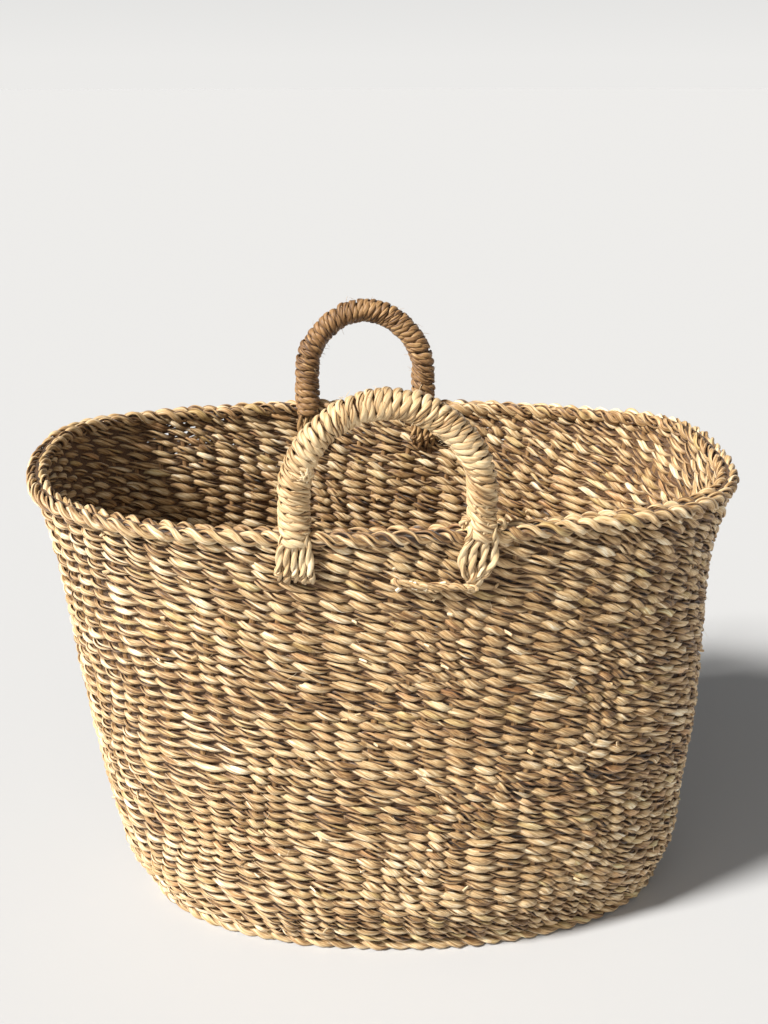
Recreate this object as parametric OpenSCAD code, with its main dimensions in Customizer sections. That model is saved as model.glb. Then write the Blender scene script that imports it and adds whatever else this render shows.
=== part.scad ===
/* [Body] */
// Outer length over the rim rope
rim_len = 556; // [520:1:600]
// Outer depth over the rim rope, front to back
rim_depth = 332; // [310:1:360]
// Height of the rim above the surface it stands on
body_h = 393; // [370:1:420]
// Thickness of the woven wall
wall_t = 10; // [8:0.5:12]
// How far the floor sits sideways of the mouth, a hand-made lean
lean_x = 21; // [0:1:30]

/* [Floor] */
// Thickness of the woven floor mat
mat_t = 8; // [6:0.5:10]
// Height of the rope that edges the floor
foot_h = 9.5; // [8:0.5:12]
// Width of the rope that edges the floor
foot_w = 10; // [8:0.5:12]

/* [Rim] */
// Height of the rim ropes
rim_h = 13; // [11:0.5:15]
// Width of each of the two rim ropes
rope_w = 8.2; // [7:0.1:9]

/* [Handles] */
// Outer width of the front handle
front_w = 144; // [125:1:150]
// Height of the front handle above the rim
front_h = 97; // [90:1:105]
// Outer width of the back handle
back_w = 127; // [120:1:145]
// Height of the back handle above the rim
back_h = 94; // [85:1:100]
// Sideways place of the front handle
front_x = -2; // [-15:1:15]
// Sideways place of the back handle
back_x = -10; // [-15:1:15]
// Outward lean of both handles, degrees
handle_lean = 5; // [0:1:8]
// Diameter over the cord wrapping
grip_d = 21; // [18:0.5:23]
// Diameter of the bundle inside the wrapping
core_d = 14; // [11:0.5:15]

/* [Roots] */
// Diameter of one root strand
root_d = 4.8; // [4:0.2:5.4]
// How far the root strands run down the wall
root_len = 46; // [38:1:52]

/* [Hidden] */
STEPS = 64;
// Side profile of the wall: share of the height, share of the rim half-length, share of the rim half-depth
PROF = [[0, 0.79, 0.68], [0.025, 0.822, 0.725], [0.12, 0.88, 0.818],
    [0.25, 0.90, 0.857], [0.45, 0.929, 0.90], [0.65, 0.937, 0.912],
    [0.82, 0.948, 0.93], [0.93, 0.976, 0.966], [1, 0.987, 0.979]];
lower_z = 138;
middle_z = 264;
top_z = body_h - rim_h;

function frac(z) = z / body_h;
function half_a(z) = rim_len / 2 * lookup(frac(z), [for (p = PROF) [p[0], p[1]]]);
function half_b(z) = rim_depth / 2 * lookup(frac(z), [for (p = PROF) [p[0], p[2]]]);
function expo(z) = 2.08 + 0.39 * frac(z);
function shift_x(z) = lean_x * (1 - frac(z));
function spow(v, e) = sign(v) * pow(abs(v), e);
// a point of the oval at angle t, drawn in by d from the outer face
function oval(a, b, n, t) = [a * spow(cos(t), 2 / n), b * spow(sin(t), 2 / n)];
function wall_pt(z, d, t) = let (q = oval(half_a(z) - d, half_b(z) - d, expo(z), t))
    [q[0] + shift_x(z), q[1], z];
function rim_pt(z, d, t) = let (q = oval(rim_len / 2 - d, rim_depth / 2 - d, expo(body_h), t))
    [q[0], q[1], z];
// depth of the wall's outer face at a given x and height
function wall_y(x, z, d) = (half_b(z) - d)
    * pow(1 - pow(abs(x - shift_x(z)) / (half_a(z) - d), expo(z)), 1 / expo(z));
function rim_y(x, d) = (rim_depth / 2 - d)
    * pow(1 - pow(abs(x) / (rim_len / 2 - d), expo(body_h)), 1 / expo(body_h));

// closed ring: rows[i] is the section at step i, every section has the same number of points
module ring_mesh(rows) {
    n = len(rows);
    m = len(rows[0]);
    pts = [for (r = rows) for (p = r) p];
    faces = [for (i = [0:n - 1]) for (j = [0:m - 1])
        let (a = i * m + j, b = ((i + 1) % n) * m + j,
             c = ((i + 1) % n) * m + (j + 1) % m, d = i * m + (j + 1) % m)
        each [[a, c, b], [a, d, c]]];
    polyhedron(points = pts, faces = faces, convexity = 6);
}
// open sweep with capped ends
module sweep_mesh(rows) {
    n = len(rows);
    m = len(rows[0]);
    pts = [for (r = rows) for (p = r) p];
    sides = [for (i = [0:n - 2]) for (j = [0:m - 1])
        let (a = i * m + j, b = (i + 1) * m + j,
             c = (i + 1) * m + (j + 1) % m, d = i * m + (j + 1) % m)
        each [[a, c, b], [a, d, c]]];
    ends = [[for (j = [0:m - 1]) j], [for (j = [0:m - 1]) n * m - 1 - j]];
    polyhedron(points = pts, faces = concat(sides, ends), convexity = 8);
}
// wall band between two heights
module wall_band(z0, z1, mids) {
    outer = concat([z0], mids, [z1]);
    k = len(outer);
    ring_mesh([for (i = [0:STEPS - 1]) let (t = 360 * i / STEPS)
        concat([for (z = outer) wall_pt(z, 0, t)],
               [for (j = [k - 1:-1:0]) wall_pt(outer[j], wall_t, t)])]);
}
// rope laid round the rim: section is an eight-sided oval
module rim_ring(inset, w, h, zc) {
    ring_mesh([for (i = [0:STEPS - 1]) let (t = 360 * i / STEPS)
        [for (j = [0:7]) let (s = 22.5 + 45 * j)
            rim_pt(zc + h / 2 * sin(s) / cos(22.5), inset - w / 2 * cos(s) / cos(22.5), t)]]);
}

module base_mat() {
    color("burlywood") translate([shift_x(0), 0, 0]) linear_extrude(height = mat_t)
        polygon([for (i = [0:95]) oval(half_a(foot_h) - foot_w - 1.3, half_b(foot_h) - foot_w - 1.3, expo(0), 360 * i / 96)]);
}

// one stake: down one wall, over the floor and up the other wall
STAKE_Z = [body_h - 7, 0.93 * body_h, 0.82 * body_h, 0.45 * body_h, 0.12 * body_h, 13];
function side_pts(t) = [for (z = STAKE_Z) wall_pt(z, wall_t / 2, t)];
function floor_pt(t, zf) = let (q = oval(half_a(10) - 17, half_b(10) - 17, expo(0), t)) [q[0] + shift_x(0), q[1], zf];
function flip(v) = [for (i = [len(v) - 1:-1:0]) v[i]];
module stake(t0, t1, zf, u) {
    path = concat(side_pts(t0), [floor_pt(t0, zf), floor_pt(t1, zf)], flip(side_pts(t1)));
    n = len(path);
    sweep_mesh([for (i = [0:n - 1])
        let (a = path[max(0, i - 1)], b = path[min(n - 1, i + 1)], g = (b - a) / norm(b - a),
             w = cross(g, u), v = w / norm(w))
        [path[i] + 1.8 * u + 1.1 * v, path[i] - 1.8 * u + 1.1 * v,
         path[i] - 1.8 * u - 1.1 * v, path[i] + 1.8 * u - 1.1 * v]]);
}
module cross_stakes() {
    color("peru") for (k = [-11:11])
        let (s = k * 20 / 272, t = acos(spow(s, 1.18)))
        stake(-t, t, 5.6, [1, 0, 0]);
}
module long_stakes() {
    color("sienna") for (k = [-5:5])
        let (s = k * 20 / 158, t = asin(spow(s, 1.18)))
        stake(t, 180 - t, 2.4, [0, 1, 0]);
}

module foot_rope() {
    // flat underneath, rounded above
    sec = [[0.1, 0.25], [0, 0.5], [0.12, 0.8], [0.35, 1], [0.65, 1], [0.88, 0.8], [1, 0.5], [0.9, 0.22], [0.68, 0], [0.32, 0]];
    color("tan") ring_mesh([for (i = [0:STEPS - 1]) let (t = 360 * i / STEPS)
        [for (j = [0:9]) let (q = oval(half_a(foot_h) - foot_w * sec[j][0], half_b(foot_h) - foot_w * sec[j][0], expo(0), t))
            [q[0] + shift_x(0), q[1], foot_h * sec[j][1]]]]);
}
module wall_weft_lower() { color("burlywood") wall_band(foot_h, lower_z, [0.06 * body_h, 0.12 * body_h, 0.25 * body_h]); }
module wall_weft_middle() { color("tan") wall_band(lower_z, middle_z, [0.45 * body_h, 0.58 * body_h]); }
module wall_weft_upper() { color("burlywood") wall_band(middle_z, top_z, [0.82 * body_h, 0.93 * body_h]); }

module rim_core() { color("sienna") rim_ring(rope_w, 4.5, 9, body_h - rim_h / 2 - 1.5); }
module rim_rope_outer() { color("wheat") rim_ring(rope_w / 2, rope_w, rim_h, body_h - rim_h / 2); }
module rim_rope_inner() { color("wheat") rim_ring(rope_w * 1.5, rope_w, rim_h, body_h - rim_h / 2); }

// handles: the arch stands on a ball end at each foot, so it can flex in and out over the rim
function foot_x(w) = (w - grip_d) / 2;
function leg_len(w, h) = h - w / 2 - grip_d / 2 - 0.3;
function hinge_z() = body_h + grip_d / 2 + 0.3;
module arch(w, h, d, drop) {
    r = foot_x(w);
    leg = leg_len(w, h);
    translate([0, 0, leg]) rotate([90, 0, 0])
        rotate_extrude(angle = 180, $fn = 96) translate([r, 0]) circle(d = d, $fn = 48);
    for (s = [-1, 1]) translate([s * r, 0, -drop]) cylinder(d = d, h = leg + drop, $fn = 48);
}
module handle_wrap(w, h) {
    difference() {
        union() {
            arch(w, h, grip_d, 0);
            for (s = [-1, 1]) translate([s * foot_x(w), 0, 0]) sphere(d = grip_d, $fn = 48);
        }
        arch(w, h, core_d + 0.2, grip_d);
    }
}
module handle_core(w, h) { arch(w, h, core_d, core_d / 2 - 0.5); }
module place(side, w, x) {
    translate([x, side * (rim_y(foot_x(w), rope_w)), hinge_z()])
        rotate([-side * handle_lean, 0, 0]) children();
}
module front_handle_core() { color("saddlebrown") place(-1, front_w, front_x) handle_core(front_w, front_h); }
module front_handle_wrap() { color("wheat") place(-1, front_w, front_x) handle_wrap(front_w, front_h); }
module back_handle_core() { color("saddlebrown") place(1, back_w, back_x) handle_core(back_w, back_h); }
module back_handle_wrap() { color("peru") place(1, back_w, back_x) handle_wrap(back_w, back_h); }

// straight strand between two points
module rod(p, q, d) {
    v = q - p;
    l = norm(v);
    translate(p) rotate([0, acos(v[2] / l), atan2(v[1], v[0])]) cylinder(d = d, h = l, $fn = 24);
}
// four strands of a handle's core, spread over the rim and down the wall
module root_fan(side, w, x, lr, face) {
    z0 = body_h - 2.5;
    z1 = body_h - root_len;
    xc = x + lr * foot_x(w);
    for (k = [-1.5:1:1.5]) {
        x0 = xc + k * (root_d + 0.2);
        x1 = xc + k * (root_d + 1.5);
        y0 = face > 0 ? rim_y(x0, 0) + root_d / 2 - 0.6 : rim_y(x0, 2 * rope_w) - root_d / 2 + 0.6;
        y1 = face > 0 ? wall_y(x1, z1, 0) + root_d / 2 - 0.6 : wall_y(x1, z1, wall_t) - root_d / 2 + 0.6;
        rod([x0, side * y0, z0], [x1, side * y1, z1], root_d);
    }
}
module front_root_outer_left() { color("goldenrod") root_fan(-1, front_w, front_x, -1, 1); }
module front_root_outer_right() { color("goldenrod") root_fan(-1, front_w, front_x, 1, 1); }
module front_root_inner_left() { color("goldenrod") root_fan(-1, front_w, front_x, -1, -1); }
module front_root_inner_right() { color("goldenrod") root_fan(-1, front_w, front_x, 1, -1); }
module back_root_outer_left() { color("goldenrod") root_fan(1, back_w, back_x, -1, 1); }
module back_root_outer_right() { color("goldenrod") root_fan(1, back_w, back_x, 1, 1); }
module back_root_inner_left() { color("goldenrod") root_fan(1, back_w, back_x, -1, -1); }
module back_root_inner_right() { color("goldenrod") root_fan(1, back_w, back_x, 1, -1); }

base_mat();
long_stakes();
cross_stakes();
foot_rope();
wall_weft_lower();
wall_weft_middle();
wall_weft_upper();
rim_core();
rim_rope_outer();
rim_rope_inner();
front_handle_core();
front_handle_wrap();
front_root_outer_left();
front_root_outer_right();
front_root_inner_left();
front_root_inner_right();
back_handle_core();
back_handle_wrap();
back_root_outer_left();
back_root_outer_right();
back_root_inner_left();
back_root_inner_right();
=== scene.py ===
import bpy, math
import numpy as np
from mathutils import Vector, Matrix


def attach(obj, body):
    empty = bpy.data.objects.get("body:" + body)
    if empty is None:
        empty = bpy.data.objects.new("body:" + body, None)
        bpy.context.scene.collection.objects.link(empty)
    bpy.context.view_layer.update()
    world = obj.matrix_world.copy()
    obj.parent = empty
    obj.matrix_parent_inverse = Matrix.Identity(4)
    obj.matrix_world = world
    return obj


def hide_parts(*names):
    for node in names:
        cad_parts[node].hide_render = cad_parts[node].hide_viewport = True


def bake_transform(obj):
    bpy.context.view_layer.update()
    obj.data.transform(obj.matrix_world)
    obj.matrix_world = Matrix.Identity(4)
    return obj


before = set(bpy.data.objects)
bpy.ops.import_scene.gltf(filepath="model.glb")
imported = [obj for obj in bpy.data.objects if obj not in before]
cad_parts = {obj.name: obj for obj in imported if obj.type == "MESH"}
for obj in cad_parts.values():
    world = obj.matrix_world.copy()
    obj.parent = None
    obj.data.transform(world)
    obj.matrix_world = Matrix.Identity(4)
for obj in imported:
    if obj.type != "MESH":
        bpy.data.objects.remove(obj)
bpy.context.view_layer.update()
TAU = 2 * math.pi
MM = 0.001

# ------------------------------------------------------------------ dimensions, in mm (the same as the CAD)
RIM_A, RIM_B, H = 278.0, 166.0, 393.0
WALL_T, LEAN = 10.0, 21.0
RIM_H, ROPE_W = 13.0, 8.2
FOOT_H, FOOT_W = 9.5, 10.0
GRIP_R = 10.5
LEAN_DEG = 5.0
HANDLES = {"front": dict(side=-1, w=144.0, h=97.0, x=-2.0, splay=0.030, narrow=0.02), "back": dict(side=1, w=127.0, h=94.0, x=-10.0, splay=0.0, narrow=0.10)}
PROF = np.array([[0, 0.79, 0.68], [0.025, 0.822, 0.725], [0.12, 0.88, 0.818], [0.25, 0.90, 0.857], [0.45, 0.929, 0.90],
                 [0.65, 0.937, 0.912], [0.82, 0.948, 0.93], [0.93, 0.976, 0.966], [1, 0.987, 0.979]])
N_STAKE = 68
rng0 = np.random.default_rng(71)

# ------------------------------------------------------------------ noise helpers
def pnoise(x, n, seed):
    """Smooth periodic noise of x in [0,1), with n knots, between -1 and 1."""
    r = np.random.default_rng(seed).uniform(-1, 1, n)
    f = (np.asarray(x, float) % 1.0) * n
    i = np.floor(f).astype(int) % n
    t = f - np.floor(f)
    t = t * t * (3 - 2 * t)
    return r[i] * (1 - t) + r[(i + 1) % n] * t

def waves(u, z, seed, count, mu, lz, amp):
    """Periodic in u, wandering in z (mm): a sum of a few soft waves."""
    r = np.random.default_rng(seed)
    out = 0.0
    for _ in range(count):
        m = int(r.integers(1, mu + 1)); l = r.uniform(-1, 1) / lz; p = r.uniform(0, TAU)
        out = out + np.cos(TAU * (m * u + l * z) + p) / math.sqrt(count)
    return amp * out

# ------------------------------------------------------------------ the basket's wall as a surface
def smooth_profile(col):
    g = np.linspace(0, 1, 401)
    v = np.interp(g, PROF[:, 0], PROF[:, col])
    pad = np.concatenate([2 * v[0] - v[20:0:-1], v, 2 * v[-1] - v[-2:-22:-1]])
    k = np.hanning(23); k /= k.sum()
    s = np.convolve(pad, k, "same")[20:-20]
    return g, s
_g, _pa = smooth_profile(1)
_, _pb = smooth_profile(2)
def half_a(z): return RIM_A * np.interp(np.asarray(z) / H, _g, _pa)
def half_b(z): return RIM_B * np.interp(np.asarray(z) / H, _g, _pb)
def expo(z): return 2.08 + 0.39 * np.asarray(z) / H
def shift_x(z): return LEAN * (1 - np.asarray(z) / H)

NU = 1440
def oval_even(a, b, n, count=NU):
    """Points spaced evenly by length round an oval, starting at +X and running anticlockwise seen from above."""
    t = np.linspace(0, TAU, 4 * count + 1)
    c, s = np.cos(t), np.sin(t)
    x = a * np.sign(c) * np.abs(c) ** (2 / n); y = b * np.sign(s) * np.abs(s) ** (2 / n)
    d = np.concatenate([[0], np.cumsum(np.hypot(np.diff(x), np.diff(y)))])
    q = np.linspace(0, d[-1], count + 1)[:-1]
    return np.interp(q, d, x), np.interp(q, d, y), d[-1]

ZG = np.linspace(0, H + 6, 101)
_wx = np.zeros((len(ZG), NU)); _wy = np.zeros((len(ZG), NU)); _wl = np.zeros(len(ZG))
for _i, _z in enumerate(ZG):
    _zz = min(_z, H)
    _wx[_i], _wy[_i], _wl[_i] = oval_even(float(half_a(_zz)), float(half_b(_zz)), float(expo(_zz)))
    _wx[_i] += float(shift_x(_z))

def _look(tab, u, z):
    fu = (np.asarray(u, float) % 1.0) * NU; iu = np.floor(fu).astype(int) % NU; tu = fu - np.floor(fu)
    fz = np.clip(np.asarray(z, float) / ZG[1], 0, len(ZG) - 1.001); iz = np.floor(fz).astype(int); tz = fz - iz
    a = tab[iz, iu] * (1 - tu) + tab[iz, (iu + 1) % NU] * tu
    b = tab[iz + 1, iu] * (1 - tu) + tab[iz + 1, (iu + 1) % NU] * tu
    return a * (1 - tz) + b * tz

def wall(u, z):
    """Outer face point, outward normal, horizontal tangent, up direction at (u, z)."""
    u = np.asarray(u, float); z = np.asarray(z, float) + 0 * u
    p = np.stack([_look(_wx, u, z), _look(_wy, u, z), z], -1)
    e = 1.5 / NU
    t = np.stack([_look(_wx, u + e, z) - _look(_wx, u - e, z), _look(_wy, u + e, z) - _look(_wy, u - e, z), 0 * z], -1)
    t /= np.linalg.norm(t, axis=-1, keepdims=True)
    z1 = np.clip(z + 4, 0, H + 5.9); z0 = np.clip(z - 4, 0, H)
    up = np.stack([_look(_wx, u, z1) - _look(_wx, u, z0), _look(_wy, u, z1) - _look(_wy, u, z0), z1 - z0], -1)
    up /= np.linalg.norm(up, axis=-1, keepdims=True)
    n = np.cross(t, up); n /= np.linalg.norm(n, axis=-1, keepdims=True)
    up = np.cross(n, t)
    return p, n, t, up

def near(u, c, w):
    """A soft bump round u = c."""
    d = np.abs(((np.asarray(u, float) - c + 0.5) % 1.0) - 0.5)
    return np.exp(-(d / w) ** 2)

def sag(u, z):
    """Hand-made unevenness of the whole wall, outwards, in mm."""
    fade = np.clip(np.asarray(z, float) / 40, 0, 1)
    full = 5.0 * near(u, 0.435, 0.05) + 3.0 * near(u, 0.06, 0.045)
    return fade * (waves(u, z, 11, 7, 9, 190, 1.6) + waves(u, z, 12, 8, 26, 90, 0.55)) + full * np.clip(np.asarray(z, float) / H, 0, 1) ** 2

def dip(u):
    """The rim hangs a little lower along the front and stands up a little at the rear corners, in mm."""
    d = np.abs(((np.asarray(u, float) - 0.67 + 0.5) % 1.0) - 0.5)
    return -3.0 * np.exp(-(d / 0.085) ** 2) - 0.8 * near(u, 0.80, 0.10) + 6.6 * near(u, 0.455, 0.055) + 4.6 * near(u, 0.055, 0.055)

# ------------------------------------------------------------------ mesh pieces
class Piece:
    def __init__(self):
        self.v, self.fi, self.fn, self.uv, self.tint, self.n = [], [], [], [], [], 0
    def add(self, verts, faces4, uv4, tint, caps=()):
        nv = len(verts)
        self.v.append(verts); self.fi.append((faces4 + self.n).ravel()); self.fn.append(np.full(len(faces4), 4))
        self.uv.append(uv4.reshape(-1, 2)); self.tint.append(tint)
        for c, cu in caps:
            self.fi.append(np.asarray(c) + self.n); self.fn.append(np.array([len(c)])); self.uv.append(np.asarray(cu, float))
        self.n += nv
    def build(self, name, material):
        v = np.concatenate(self.v) * MM
        fi = np.concatenate(self.fi).astype(np.int32); fn = np.concatenate(self.fn).astype(np.int32)
        me = bpy.data.meshes.new(name)
        me.vertices.add(len(v)); me.vertices.foreach_set("co", v.astype(np.float32).ravel())
        me.loops.add(len(fi)); me.loops.foreach_set("vertex_index", fi)
        me.polygons.add(len(fn))
        st = np.concatenate([[0], np.cumsum(fn)[:-1]]).astype(np.int32)
        me.polygons.foreach_set("loop_start", st)
        me.polygons.foreach_set("loop_total", fn)
        me.polygons.foreach_set("use_smooth", np.ones(len(fn), bool))
        uvl = me.uv_layers.new(name="strand")
        uvl.data.foreach_set("uv", np.concatenate(self.uv).astype(np.float32).ravel())
        at = me.attributes.new("tint", "FLOAT_COLOR", "POINT")
        at.data.foreach_set("color", np.concatenate(self.tint).astype(np.float32).ravel())
        me.update(calc_edges=True)
        me.materials.append(material)
        ob = bpy.data.objects.new(name, me)
        bpy.context.scene.collection.objects.link(ob)
        return ob

def frames(c, closed, ref):
    """Tangent and two cross axes for a centre line; ref is the wanted first axis."""
    if closed: t = np.roll(c, -1, 0) - np.roll(c, 1, 0)
    else: t = np.gradient(c, axis=0)
    t /= np.linalg.norm(t, axis=1, keepdims=True) + 1e-12
    a = ref - (ref * t).sum(1, keepdims=True) * t
    a /= np.linalg.norm(a, axis=1, keepdims=True) + 1e-12
    b = np.cross(t, a)
    return t, a, b

_grid = {}
def grid(n, m, closed):
    """Quads of a sweep of n sections with m points each."""
    key = (n, m, closed)
    if key not in _grid:
        i = np.arange(n if closed else n - 1)[:, None]; j = np.arange(m)[None, :]
        i2 = (i + 1) % n; jn = (j + 1) % m
        _grid[key] = np.stack([i * m + j, i * m + jn, i2 * m + jn, i2 * m + j], -1).reshape(-1, 4)
    return _grid[key]

def along(c, closed):
    """Distance run at each sample, and the whole length."""
    s = np.concatenate([[0], np.cumsum(np.linalg.norm(np.diff(c, axis=0), axis=1))])
    return s, s[-1] + (np.linalg.norm(c[0] - c[-1]) if closed else 0)

def col_(x, n):
    x = np.asarray(x, float)
    if x.ndim == 0: return np.full((n, 1), float(x))
    return x.reshape(n, 1) if x.ndim == 1 else x

def sweep(piece, v, closed, s, total, tone, hue, seed, painted_shade, u0=0.0):
    """Adds a skin over sections v (n,m,3). s is the distance run at each section, tone and painted_shade (n,m) or (n,),
    hue and seed (n,) or one; painted_shade is how much painted shade darkens the colour.
    """
    n, m = v.shape[:2]
    rows = n if closed else n - 1
    s1 = np.concatenate([s[1:], [total]])[:rows] if closed else s[1:]
    S0 = np.broadcast_to((s[:rows] * MM + u0)[:, None], (rows, m)); S1 = np.broadcast_to((s1 * MM + u0)[:, None], (rows, m))
    j = np.arange(m)[None, :]
    V0 = np.broadcast_to(j / m, (rows, m)); V1 = np.broadcast_to((j + 1) / m, (rows, m))
    uv = np.stack([np.stack([S0, V0], -1), np.stack([S0, V1], -1), np.stack([S1, V1], -1), np.stack([S1, V0], -1)], 2).reshape(-1, 4, 2)
    tint = np.empty((n, m, 4))
    tint[..., 0] = col_(tone, n); tint[..., 1] = col_(hue, n); tint[..., 2] = col_(seed, n); tint[..., 3] = np.clip(col_(painted_shade, n), 0, 1)
    caps = []
    if not closed:
        ph = TAU * np.arange(m) / m
        cu = np.stack([0.5 + 0.5 * np.cos(ph), 0.5 + 0.5 * np.sin(ph)], -1) * 0.004
        caps = [(np.arange(m)[::-1], cu), (np.arange(m) + (n - 1) * m, cu)]
    piece.add(v.reshape(-1, 3), grid(n, m, closed), uv, tint.reshape(-1, 4), caps)

def tube(piece, c, ref, ra, rb, m=8, closed=False, tone=0.5, hue=0.5, seed=0.0, painted_shade=0.0, u0=0.0, spin=0.0, fold=0.0):
    """One round or flattened strip along centre line c (n,3) in mm; ra is along ref, rb across it. fold pinches a crease along it."""
    n = len(c)
    t, a, b = frames(c, closed, ref)
    s, total = along(c, closed)
    ra, rb, spin = col_(ra, n), col_(rb, n), col_(spin, n)
    phi = TAU * np.arange(m)[None] / m
    k = 1 - fold * np.exp(-((np.abs(((phi / TAU) + 0.5) % 1 - 0.5) * TAU) / 0.45) ** 2)
    x, y = k * np.cos(phi) * ra, k * np.sin(phi) * rb
    cs, sn = np.cos(spin), np.sin(spin)
    v = c[:, None, :] + (x * cs - y * sn)[..., None] * a[:, None, :] + (x * sn + y * cs)[..., None] * b[:, None, :]
    sweep(piece, v, closed, s, total, tone, hue, seed, painted_shade, u0)

PHI7 = np.radians([-112, -80, -42, 0, 42, 80, 112])
def plies(piece, c, ref, ra, rb, q, period, rng, turns, count=3, closed=True, cut=(5, 15), tone0=0.0, painted_shade=0.0, spread=0.10,
          radial=0.45, broad=0.80, rough=1.0, phase=0.0, shade=0.34, calm=1.0, knots=2.2, parts=None,
          groove_shade=None, fold=0.16):
    """A strand laid up from a few flat blades of grass that turn round one another along centre line c. q runs 0..period; ra, rb are the
    strand's half sizes along ref and across it. Returns where blades begin, with their colour."""
    n = len(c)
    t, a, b = frames(c, closed, ref)
    s, total = along(c, closed)
    ra, rb = col_(ra, n), col_(rb, n)
    begun = []
    sd = int(rng.integers(1, 10 ** 6))
    kn = max(int(period * knots), 4)
    for k in range(count):
        cuts, li = splices(q, period, rng, *cut)
        nl = max(len(cuts), 1)
        tl, hl = colours(rng, nl)
        tl = 0.56 + (tl - 0.56) * calm; hl = 0.5 + (hl - 0.5) * calm
        th = TAU * turns * q / period + TAU * k / count + phase
        th = th + 0.30 * rough * pnoise(q / period, kn, sd + 11 * k)
        rd = radial * (1 + 0.20 * rough * pnoise(q / period, kn, sd + 11 * k + 1))
        sz = 1 + 0.13 * rough * pnoise(q / period, kn, sd + 11 * k + 2)
        sz = sz * np.clip(rng.normal(1.0, 0.07, nl), 0.82, 1.2)[li]
        gap = np.ones(n)
        for cq in cuts:
            d = np.abs(q - cq); d = np.minimum(d, period - d) if closed else d
            gap = gap - 0.22 * np.exp(-(d / 0.10) ** 2)
        rd, sz, th = (rd * 1.0)[:, None], (sz * gap)[:, None], th[:, None]
        f = PHI7[None]
        fo = fold * (0.6 + 0.6 * pnoise(q / period, kn, sd + 11 * k + 4))[:, None] * (np.abs(f) < 0.1)
        x0 = rd + sz * ((1 - radial) * np.cos(f) - fo); y0 = broad * sz * np.sin(f)
        X = x0 * np.cos(th) - y0 * np.sin(th); Y = x0 * np.sin(th) + y0 * np.cos(th)
        v = c[:, None, :] + (X * ra)[..., None] * a[:, None, :] + (Y * rb)[..., None] * b[:, None, :]
        # painted shade: the blade's edges and its fold crease are darkened in tone, the edges get extra painted_shade
        # weight, and groove_shade adds painted shade in the grooves
        edge = (np.abs(f) / PHI7[-1]) ** 3
        tone = (tl[li] + tone0 + rng.normal(0, spread * 0.4) + 0.04 * pnoise(q / period, kn, sd + 11 * k + 3))[:, None] - shade * edge - 0.6 * fo
        dp = col_(painted_shade, n) + 0.35 * edge
        if groove_shade is not None: dp = dp + groove_shade(X * ra, Y * rb)
        seed_ = (li * 0.137 + k * 0.31 + (sd % 97) / 97.0) % 1.0
        if parts is None: sweep(piece, v, closed, s, total, tone, hl[li], seed_, dp)
        else:
            for pc_, sl in parts:
                sweep(pc_, v[sl], False, s[sl], s[sl][-1], tone[sl], hl[li][sl], seed_[sl], dp[sl])
        begun += [(float(cq), float(tl[j % nl]), float(hl[j % nl])) for j, cq in enumerate(cuts)]
    return begun

def splices(q, total, rng, lo, hi, period=True):
    """Cuts a strand at random places into lengths of lo..hi; returns the cut places and a length number for each sample."""
    cuts = [rng.uniform(0, lo)]
    while cuts[-1] < total - lo * 0.6: cuts.append(cuts[-1] + rng.uniform(lo, hi))
    cuts = np.array([c for c in cuts if c < total])
    idx = np.searchsorted(cuts, q) % max(len(cuts), 1)
    return cuts, idx

def colours(rng, n):
    """Tone and hue of n lengths of seagrass: mostly straw, some pale, some brown, reddish or greenish."""
    tone = np.clip(rng.normal(0.605, 0.08, n), 0.3, 0.8)
    hue = np.clip(rng.normal(0.5, 0.05, n), 0.3, 0.7)
    k = rng.random(n)
    tone = np.where(k < 0.07, rng.uniform(0.68, 0.78, n), tone)
    tone = np.where((k > 0.07) & (k < 0.13), rng.uniform(0.30, 0.42, n), tone)
    hue = np.where((k > 0.13) & (k < 0.19), rng.uniform(0.16, 0.32, n), hue)
    hue = np.where((k > 0.19) & (k < 0.25), rng.uniform(0.68, 0.82, n), hue)
    return tone, hue

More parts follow.
